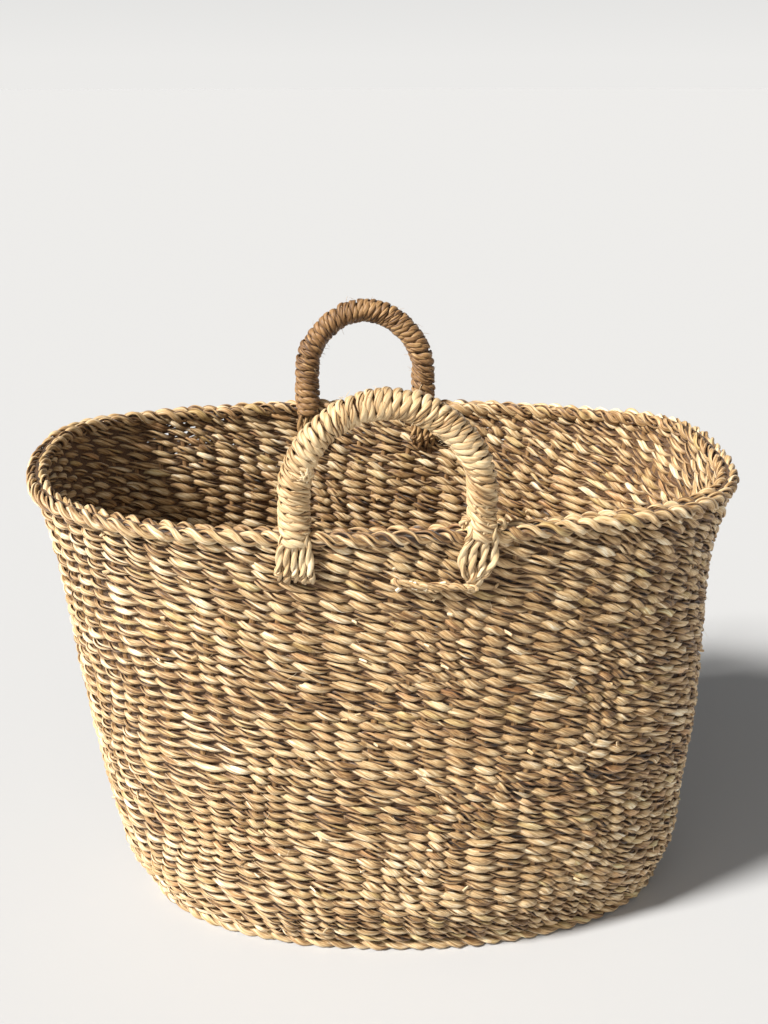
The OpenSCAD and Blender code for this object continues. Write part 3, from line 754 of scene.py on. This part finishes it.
FAN_L = [(-8.6, -10.8, -11.8, H - 38, 0.66), (-4.3, -5.4, -6.0, H - 41, 0.54), (0.0, -0.4, -0.4, H - 39, 0.72), (4.2, 5.0, 5.2, H - 41, 0.60), (8.4, 10.2, 10.8, H - 40, 0.74)]
FAN_R = [(-8.4, -14.0, -7.4, H - 43, 0.62), (-3.2, -6.8, -5.2, H - 45, 0.56), (2.8, 0.8, -2.8, H - 46, 0.72), (8.4, 8.0, -0.6, H - 44, 0.66)]
FAN_I = [(-7.0, -8.6, -8.8, H - 38, 0.52), (-2.4, -3.0, -3.0, H - 42, 0.60), (2.4, 2.8, 3.2, H - 41, 0.50), (7.0, 8.4, 8.6, H - 39, 0.62)]
for nm in ("front", "back"):
    mt = M_PALE if nm == "front" else M_BROWN
    for lr in (-1, 1):
        side_name = "left" if lr < 0 else "right"
        root(nm, lr, 1, FAN_L if lr < 0 else FAN_R, mt, "%s_root_outer_%s" % (nm, side_name), 1.0 if lr < 0 else 1.14)
        # painted light: the back handle's inner stems are made 0.13 lighter against the shade they lie in
        root(nm, lr, -1, [(*f_[:4], f_[4] + (0.13 if nm == "back" else 0.0)) for f_ in FAN_I], mt, "%s_root_inner_%s" % (nm, side_name))

# ------------------------------------------------------------------ dark sheet between the strands (painted shade)
def shade_backing():
    """A dark sheet between the stakes, in the middle of the wall: painted shade standing for the dark gaps between
    strands, which also stops light coming through; small holes where the weave is open.
    """
    rng = np.random.default_rng(4242)
    nu_, nz_ = N_STAKE * 4, 94
    zz = np.linspace(4.0, H - 9, nz_)
    U, Z = np.meshgrid(np.arange(nu_) / nu_, zz)
    p, nn, tt, up = wall(U.ravel(), Z.ravel())
    w = sag(U.ravel(), Z.ravel()) - WALL_T / 2 + 0.25 * rng.uniform(-1, 1, U.size)
    p = p + nn * w[:, None] + np.array([0, 0, 1.0]) * (dip(U.ravel()) * (Z.ravel() / H) ** 2)[:, None]
    i = np.arange(nz_ - 1)[:, None]; j = np.arange(nu_)[None]
    f = np.stack([i * nu_ + j, i * nu_ + (j + 1) % nu_, (i + 1) * nu_ + (j + 1) % nu_, (i + 1) * nu_ + j], -1).reshape(-1, 4)
    # small holes, mostly near the rim at the left end and a few elsewhere
    uc = ((j + 0.5) / nu_ + 0 * i).ravel(); zc = (zz[:-1][:, None] + 2.0 + 0 * j).ravel()
    left = near(uc, 0.375, 0.022) * np.exp(-((zc - H + 24) / 9) ** 2)
    keep_ = rng.random(len(f)) > (0.003 + 0.012 * near(uc, 0.42, 0.10) + 0.75 * left)
    f = f[keep_]
    # a thin closed layer: an outer and an inner face, with an edge all round every hole
    nv = len(p)
    e = np.stack([f, np.roll(f, -1, 1)], -1).reshape(-1, 2)
    key = e.min(1) * nv + e.max(1)
    _, inv, cnt = np.unique(key, return_inverse=True, return_counts=True)
    rim_e = e[cnt[inv.ravel()] == 1]
    faces = np.concatenate([f, f[:, ::-1] + nv, np.stack([rim_e[:, 1], rim_e[:, 0], rim_e[:, 0] + nv, rim_e[:, 1] + nv], -1)])
    P = np.concatenate([p + nn * 0.3, p - nn * 0.3])
    used, back = np.unique(faces, return_inverse=True)
    faces = back.reshape(-1, 4); P = P[used]
    mid = P[faces].mean(1)
    a0 = np.arctan2(mid[:, 1], mid[:, 0]) * 0.2
    uv = np.stack([np.stack([a0, mid[:, 2] * MM], -1)] * 4, 1) + np.array([[0, 0], [0.005, 0], [0.005, 0.004], [0, 0.004]])
    # painted shade: the sheet gets a dark tone (0.16 to 0.28) and full painted-shade weight
    tint = np.zeros((len(P), 4)); tint[:, 0] = 0.16 + 0.12 * rng.random(len(P)); tint[:, 1] = 0.5; tint[:, 2] = rng.random(len(P)); tint[:, 3] = 1.0
    pc = Piece(); pc.add(P, faces, uv, tint)
    place(pc.build("shade_backing_sheet", M_WALL), "basket", "seagrass_weft")
shade_backing()

# ------------------------------------------------------------------ loose ends
def stub(piece, p, d, n, length, wide, thick, tone, hue, seed, curl=0.0, m=6, k=6):
    """A short flat end of grass from p in direction d, face towards n, with a cut end."""
    d = d / np.linalg.norm(d); n = n - (n @ d) * d; n /= np.linalg.norm(n) + 1e-9
    x = np.linspace(0, 1, k)
    c = p[None] + d[None] * (x * length)[:, None] + n[None] * (curl * x ** 2)[:, None]
    w = wide * np.interp(x, [0, 0.3, 1], [0.7, 1, 0.92])
    tube(piece, c, np.tile(n, (k, 1)), thick, w, m=m, tone=tone, hue=hue, seed=seed, fold=0.25)

def loose_ends():
    rng = np.random.default_rng(5151)
    pc, hair = Piece(), Piece()
    pick = [tails[i] for i in rng.permutation(len(tails))]
    made = 0
    for r, s_, q_, tone, hue in pick:
        if made >= 210: break
        z0 = float(ROWS[r])
        u = (q_ + stake_drift(q_ / N_STAKE, z0)) / N_STAKE
        pp = (q_ + s_ + 1.0) % 2.0 - 1.0
        outer = abs(pp) < 0.5
        if not outer and rng.random() < 0.6: continue
        zz = z0 + rng.uniform(-2.5, 2.5) + float(dip(np.array([u]))[0]) * (z0 / H) ** 2 + float(waves(np.array([u]), z0, 21, 6, 7, 160, 1.5)[0])
        if zz > H - 14 or zz < 13: continue
        p, n, t, up = wall(np.array([u]), np.array([zz])); p, n, t, up = p[0], n[0], t[0], up[0]
        sg = float(sag(np.array([u]), np.array([zz]))[0])
        f = 1 if outer else -1
        base = p + n * ((-WALL_T / 2 + sg) + f * 3.0)
        d = t * rng.choice([-1, 1]) * rng.uniform(0.7, 1) + up * rng.uniform(-0.6, 0.3) + n * f * rng.uniform(0.25, 0.75)
        stub(pc, base, d, n * f, rng.uniform(3.0, 7.0), rng.uniform(0.9, 1.6), rng.uniform(0.4, 0.7), min(tone + rng.uniform(0.0, 0.15), 0.88), hue, rng.random(), curl=rng.uniform(-0.8, 1.2))
        made += 1
    for _ in range(230):
        u, zz = rng.random(), rng.uniform(14, H - 10)
        p, n, t, up = wall(np.array([u]), np.array([zz])); p, n, t, up = p[0], n[0], t[0], up[0]
        sg = float(sag(np.array([u]), np.array([zz]))[0])
        f = 1 if rng.random() < 0.75 else -1
        base = p + n * ((-WALL_T / 2 + sg) + f * 3.6)
        d = t * rng.uniform(-1, 1) + up * rng.uniform(-0.8, 0.5) + n * f * rng.uniform(0.3, 0.9)
        L_ = rng.uniform(3, 8); k = 6; x = np.linspace(0, 1, k)
        d /= np.linalg.norm(d)
        c = base[None] + d[None] * (x * L_)[:, None] + (t * rng.uniform(-1, 1) - up * rng.uniform(0, 1.2))[None] * (2.2 * x ** 2)[:, None]
        tube(hair, c, np.tile(n, (k, 1)), 0.13 * (1 - 0.6 * x), 0.13 * (1 - 0.6 * x), m=4, tone=rng.uniform(0.6, 0.95), hue=0.5, seed=rng.random())
    place(pc.build("cut_ends", M_WALL), "basket", "seagrass_weft")
    place(hair.build("loose_fibres", M_WALL), "basket", "seagrass_weft")
loose_ends()

def surface_cord(piece, pts, side, ra, rb, twists, rng, tone0, lift=3.0, n=70, sep=1.1):
    """A two-ply cord lying on the outside of the wall along (x, z, extra lift) points."""
    P = []
    for x, z, l in pts:
        u = wall_at(x, z, side); p, nn, tt, up = wall(np.array([u]), np.array([z]))
        P.append(p[0] + nn[0] * (lift + l + float(sag(np.array([u]), np.array([z]))[0])))
    c = curve_pts(P, n)
    ref = np.tile(np.array([[0.0, float(side), 0.1]]), (n, 1))
    t, a, b = frames(c, False, ref)
    q = np.linspace(0, 1, n); e = np.interp(q, [0, 0.06, 0.94, 1], [0.55, 1, 1, 0.55])
    for ply in (0, 1):
        om = TAU * twists * q + math.pi * ply + 0.5 * pnoise(q * 0.97, 7, 77 + ply)
        cc = c + a * (0.9 * sep * np.cos(om))[:, None] + b * (sep * np.sin(om))[:, None]
        # painted shade: each ply is darker where it turns behind the other, towards the wall
        plies(piece, cc, ref, ra * e, rb * e, q * 8, 8, rng, 1.2, count=2, closed=False, cut=(3, 6), tone0=tone0, radial=0.34, broad=0.86, knots=3, calm=0.8,
              painted_shade=0.5 * np.clip(-np.cos(om), 0, 1))
    return c

def splice():
    """Where a handle's long end was twisted away below the rim, with its cut ends and a small knot."""
    rng = np.random.default_rng(909)
    pc = Piece()
    surface_cord(pc, [(1, H - 40.5, -3.5), (5, H - 41, 0.8), (16, H - 43, 1.6), (28, H - 44, 1.0), (40, H - 45, 1.4), (50, H - 46, 1.2), (58, H - 47, 0.4)], -1, 1.9, 2.15, 3.1, rng, 0.06, lift=1.6)
    surface_cord(pc, [(10, H - 46, -2.5), (18, H - 46.5, 0.6), (30, H - 47.5, 1.2), (38, H - 46.5, -2.0)], -1, 1.5, 1.75, 1.6, rng, 0.02, lift=1.4, n=40, sep=0.9)
    for x, z, dx, dz, L_ in ((9, H - 41.5, 0.9, 0.25, 6), (11, H - 43.5, 1.0, -0.15, 7), (13, H - 42, 0.8, 0.5, 5), (20, H - 44.5, 0.9, -0.5, 5), (7, H - 44.5, -0.8, -0.5, 5), (33, H - 42.5, 0.9, 0.4, 5)):
        u = wall_at(x, z, -1); p, nn, tt, up = wall(np.array([u]), np.array([z]))
        stub(pc, p[0] + nn[0] * 2.8, tt[0] * dx + up[0] * dz + nn[0] * rng.uniform(0.15, 0.45), nn[0], L_, rng.uniform(1.1, 1.7), 0.6, rng.uniform(0.85, 1.0), 0.5, rng.random(), curl=rng.uniform(0, 1))
    # knot at the foot of the right-hand root
    a = np.linspace(0, TAU * 1.35, 46)
    x0, z0 = 55.5, H - 47.5
    u = wall_at(x0, z0, -1); p, nn, tt, up = wall(np.array([u]), np.array([z0])); p, nn, tt, up = p[0], nn[0], tt[0], up[0]
    c = p[None] + nn[None] * (3.0 + 1.3 * np.cos(a * 0.5))[:, None] + tt[None] * (3.3 * np.cos(a))[:, None] + up[None] * (2.5 * np.sin(a))[:, None]
    plies(pc, c, np.tile(nn, (len(a), 1)), 1.6, 1.8, np.linspace(0, 5, len(a)), 5, rng, 1.5, count=2, closed=False, cut=(8, 9), tone0=0.05, radial=0.34, broad=0.86, knots=3)
    place(pc.build("splice_and_knot", M_ROPE), "basket", "seagrass_rope")
splice()

def handle_knot():
    """A frayed end of the wrapping cord, tucked in on the inner side of the front handle's left shoulder."""
    rng = np.random.default_rng(313)
    f, r, leg, L, R, o = CORE["front"]
    s0 = leg + r * 0.26
    p, t, e1 = f(np.array([s0])); p, t, e1 = p[0], t[0], e1[0]
    out = -0.50 * e1 + np.array([0, -0.86, 0]); out /= np.linalg.norm(out)
    q_ = np.cross(t, out)
    pc = Piece()
    base = p + out * 10.6
    for k in range(22):
        a = TAU * k / 22 + rng.uniform(-0.2, 0.2)
        d = t * math.cos(a) + q_ * math.sin(a)
        L_ = rng.uniform(3.0, 6.5); kk = 7; x = np.linspace(0, 1, kk)
        c = base[None] + d[None] * (0.6 + x * L_)[:, None] + out[None] * (1.9 * np.sin(x * 2.4) - 0.9 * x)[:, None]
        w = rng.uniform(0.45, 0.85) * np.interp(x, [0, 0.5, 1], [1, 1, 0.5])
        tube(pc, c @ R.T + o, np.tile(out @ R.T, (kk, 1)), w * 0.7, w, m=6, tone=rng.uniform(0.62, 0.95), hue=0.5, seed=rng.random(), fold=0.2)
    a = np.linspace(0, TAU * 1.2, 34)
    c = base[None] + out[None] * 1.6 + t[None] * (1.9 * np.cos(a))[:, None] + q_[None] * (1.7 * np.sin(a))[:, None]
    tube(pc, c @ R.T + o, np.tile(out @ R.T, (34, 1)), 0.9, 1.0, m=8, tone=0.66, hue=0.5, seed=0.4, fold=0.2)
    place(pc.build("front_frayed_knot", M_PALE), "front_handle", "seagrass_wrap_pale")
    # a few hairs on both wraps
    for nm in ("front", "back"):
        f, r, leg, L, R, o = CORE[nm]
        hp = Piece()
        for _ in range(60):
            s1 = np.array([rng.uniform(6, L - 6)]); a = rng.uniform(0, TAU)
            p, t, e1 = f(s1); p, t, e1 = p[0], t[0], e1[0]
            out = math.cos(a) * e1 + math.sin(a) * np.array([0, 1.0, 0])
            d = out * rng.uniform(0.4, 1) + t * rng.uniform(-1, 1); d /= np.linalg.norm(d)
            k = 5; x = np.linspace(0, 1, k)
            c = (p + out * 10.4)[None] + d[None] * (x * rng.uniform(2.5, 6))[:, None] + t[None] * (rng.uniform(-1, 1) * x ** 2)[:, None]
            tube(hp, c @ R.T + o, np.tile(out @ R.T, (k, 1)), 0.15 * (1 - 0.5 * x), 0.15 * (1 - 0.5 * x), m=4, tone=rng.uniform(0.6, 0.9), hue=0.5, seed=rng.random())
        place(hp.build(nm + "_wrap_fibres", M_PALE if nm == "front" else M_BROWN), nm + "_handle", "seagrass_wrap_pale" if nm == "front" else "seagrass_wrap_brown")
handle_knot()

# CAD pieces that stay: the handles' cores, hidden in the cord
def keep(node, material):
    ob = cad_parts[node]
    for s_ in ob.material_slots: s_.material = material
M_CORE = bpy.data.materials.new("seagrass_core"); M_CORE.use_nodes = True
def core_material(mat, c1, c2, stretch):
    nt = mat.node_tree; b = nt.nodes["Principled BSDF"]
    tc = nt.nodes.new("ShaderNodeTexCoord"); mp = nt.nodes.new("ShaderNodeMapping"); mp.inputs["Scale"].default_value = stretch
    n = nt.nodes.new("ShaderNodeTexNoise"); n.inputs["Scale"].default_value = 1.0; n.inputs["Detail"].default_value = 4
    cr = nt.nodes.new("ShaderNodeValToRGB"); cr.color_ramp.elements[0].color = (*c1, 1); cr.color_ramp.elements[1].color = (*c2, 1)
    cr.color_ramp.elements[0].position = 0.35; cr.color_ramp.elements[1].position = 0.7
    nt.links.new(tc.outputs["Object"], mp.inputs[0]); nt.links.new(mp.outputs[0], n.inputs["Vector"]); nt.links.new(n.outputs["Fac"], cr.inputs[0])
    nt.links.new(cr.outputs[0], b.inputs["Base Color"])
    bp = nt.nodes.new("ShaderNodeBump"); bp.inputs["Distance"].default_value = 0.0005; nt.links.new(n.outputs["Fac"], bp.inputs["Height"]); nt.links.new(bp.outputs[0], b.inputs["Normal"])
    b.inputs["Roughness"].default_value = 0.75
core_material(M_CORE, lin(70, 48, 26), lin(140, 104, 62), (900, 900, 200))
for nd_ in ("front_handle_core", "back_handle_core"): keep(nd_, M_CORE)

# ------------------------------------------------------------------ stage, light, camera
def stage():
    me = bpy.data.meshes.new("floor_plane")
    s = 30.0
    me.from_pydata([(-s, -s, 0), (s, -s, 0), (s, s, 0), (-s, s, 0)], [], [(0, 1, 2, 3)])
    ob = bpy.data.objects.new("floor_plane", me); bpy.context.scene.collection.objects.link(ob)
    m = bpy.data.materials.new("pale_floor"); m.use_nodes = True
    b = m.node_tree.nodes["Principled BSDF"]; b.inputs["Base Color"].default_value = (0.52, 0.525, 0.53, 1); b.inputs["Roughness"].default_value = 1.0
    b.inputs["Specular IOR Level"].default_value = 0.0
    me.materials.append(m)
stage()
w = bpy.data.worlds.new("soft_room"); bpy.context.scene.world = w; w.use_nodes = True
wn = w.node_tree.nodes; wl = w.node_tree.links
bg = wn["Background"]; bg.inputs[1].default_value = 1.0
tc = wn.new("ShaderNodeTexCoord"); sx = wn.new("ShaderNodeSeparateXYZ"); wl.new(tc.outputs["Generated"], sx.inputs[0])
wr = wn.new("ShaderNodeValToRGB")
for e_, (p_, v_) in zip((wr.color_ramp.elements[0], wr.color_ramp.elements[1]), ((0.0, 0.84), (1.0, 0.06))):
    e_.position = p_; e_.color = (v_ * 1.0, v_ * 0.99, v_ * 0.97, 1)
e_ = wr.color_ramp.elements.new(0.10); e_.color = (0.72, 0.72, 0.71, 1)
e_ = wr.color_ramp.elements.new(0.30); e_.color = (0.26, 0.26, 0.26, 1)
wl.new(sx.outputs[2], wr.inputs[0]); wl.new(wr.outputs[0], bg.inputs[0])
def sun(name, frm, angle, power, colour):
    l = bpy.data.lights.new(name, "SUN"); l.angle = math.radians(angle); l.energy = power; l.color = colour
    ob = bpy.data.objects.new(name, l); bpy.context.scene.collection.objects.link(ob)
    ob.location = frm; ob.rotation_euler = (-Vector(frm)).to_track_quat("-Z", "Y").to_euler()
sun("key", (-1.6, -0.9, 1.6), 10, 6.6, (1.0, 0.975, 0.94))
sun("soft_fill", (-0.4, -1.6, 1.3), 60, 0.45, (1.0, 0.99, 0.97))

cam = bpy.data.cameras.new("cam"); cam.lens = 42.19; cam.sensor_width = 36.0
co = bpy.data.objects.new("cam", cam); bpy.context.scene.collection.objects.link(co)
co.location = (-0.0341, -0.9134, 0.688)
co.rotation_euler = (math.radians(90 - 20.7), 0, math.radians(-2.2))
cam.clip_start = 0.05
bpy.context.scene.camera = co
bpy.context.scene.view_settings.view_transform = "Standard"
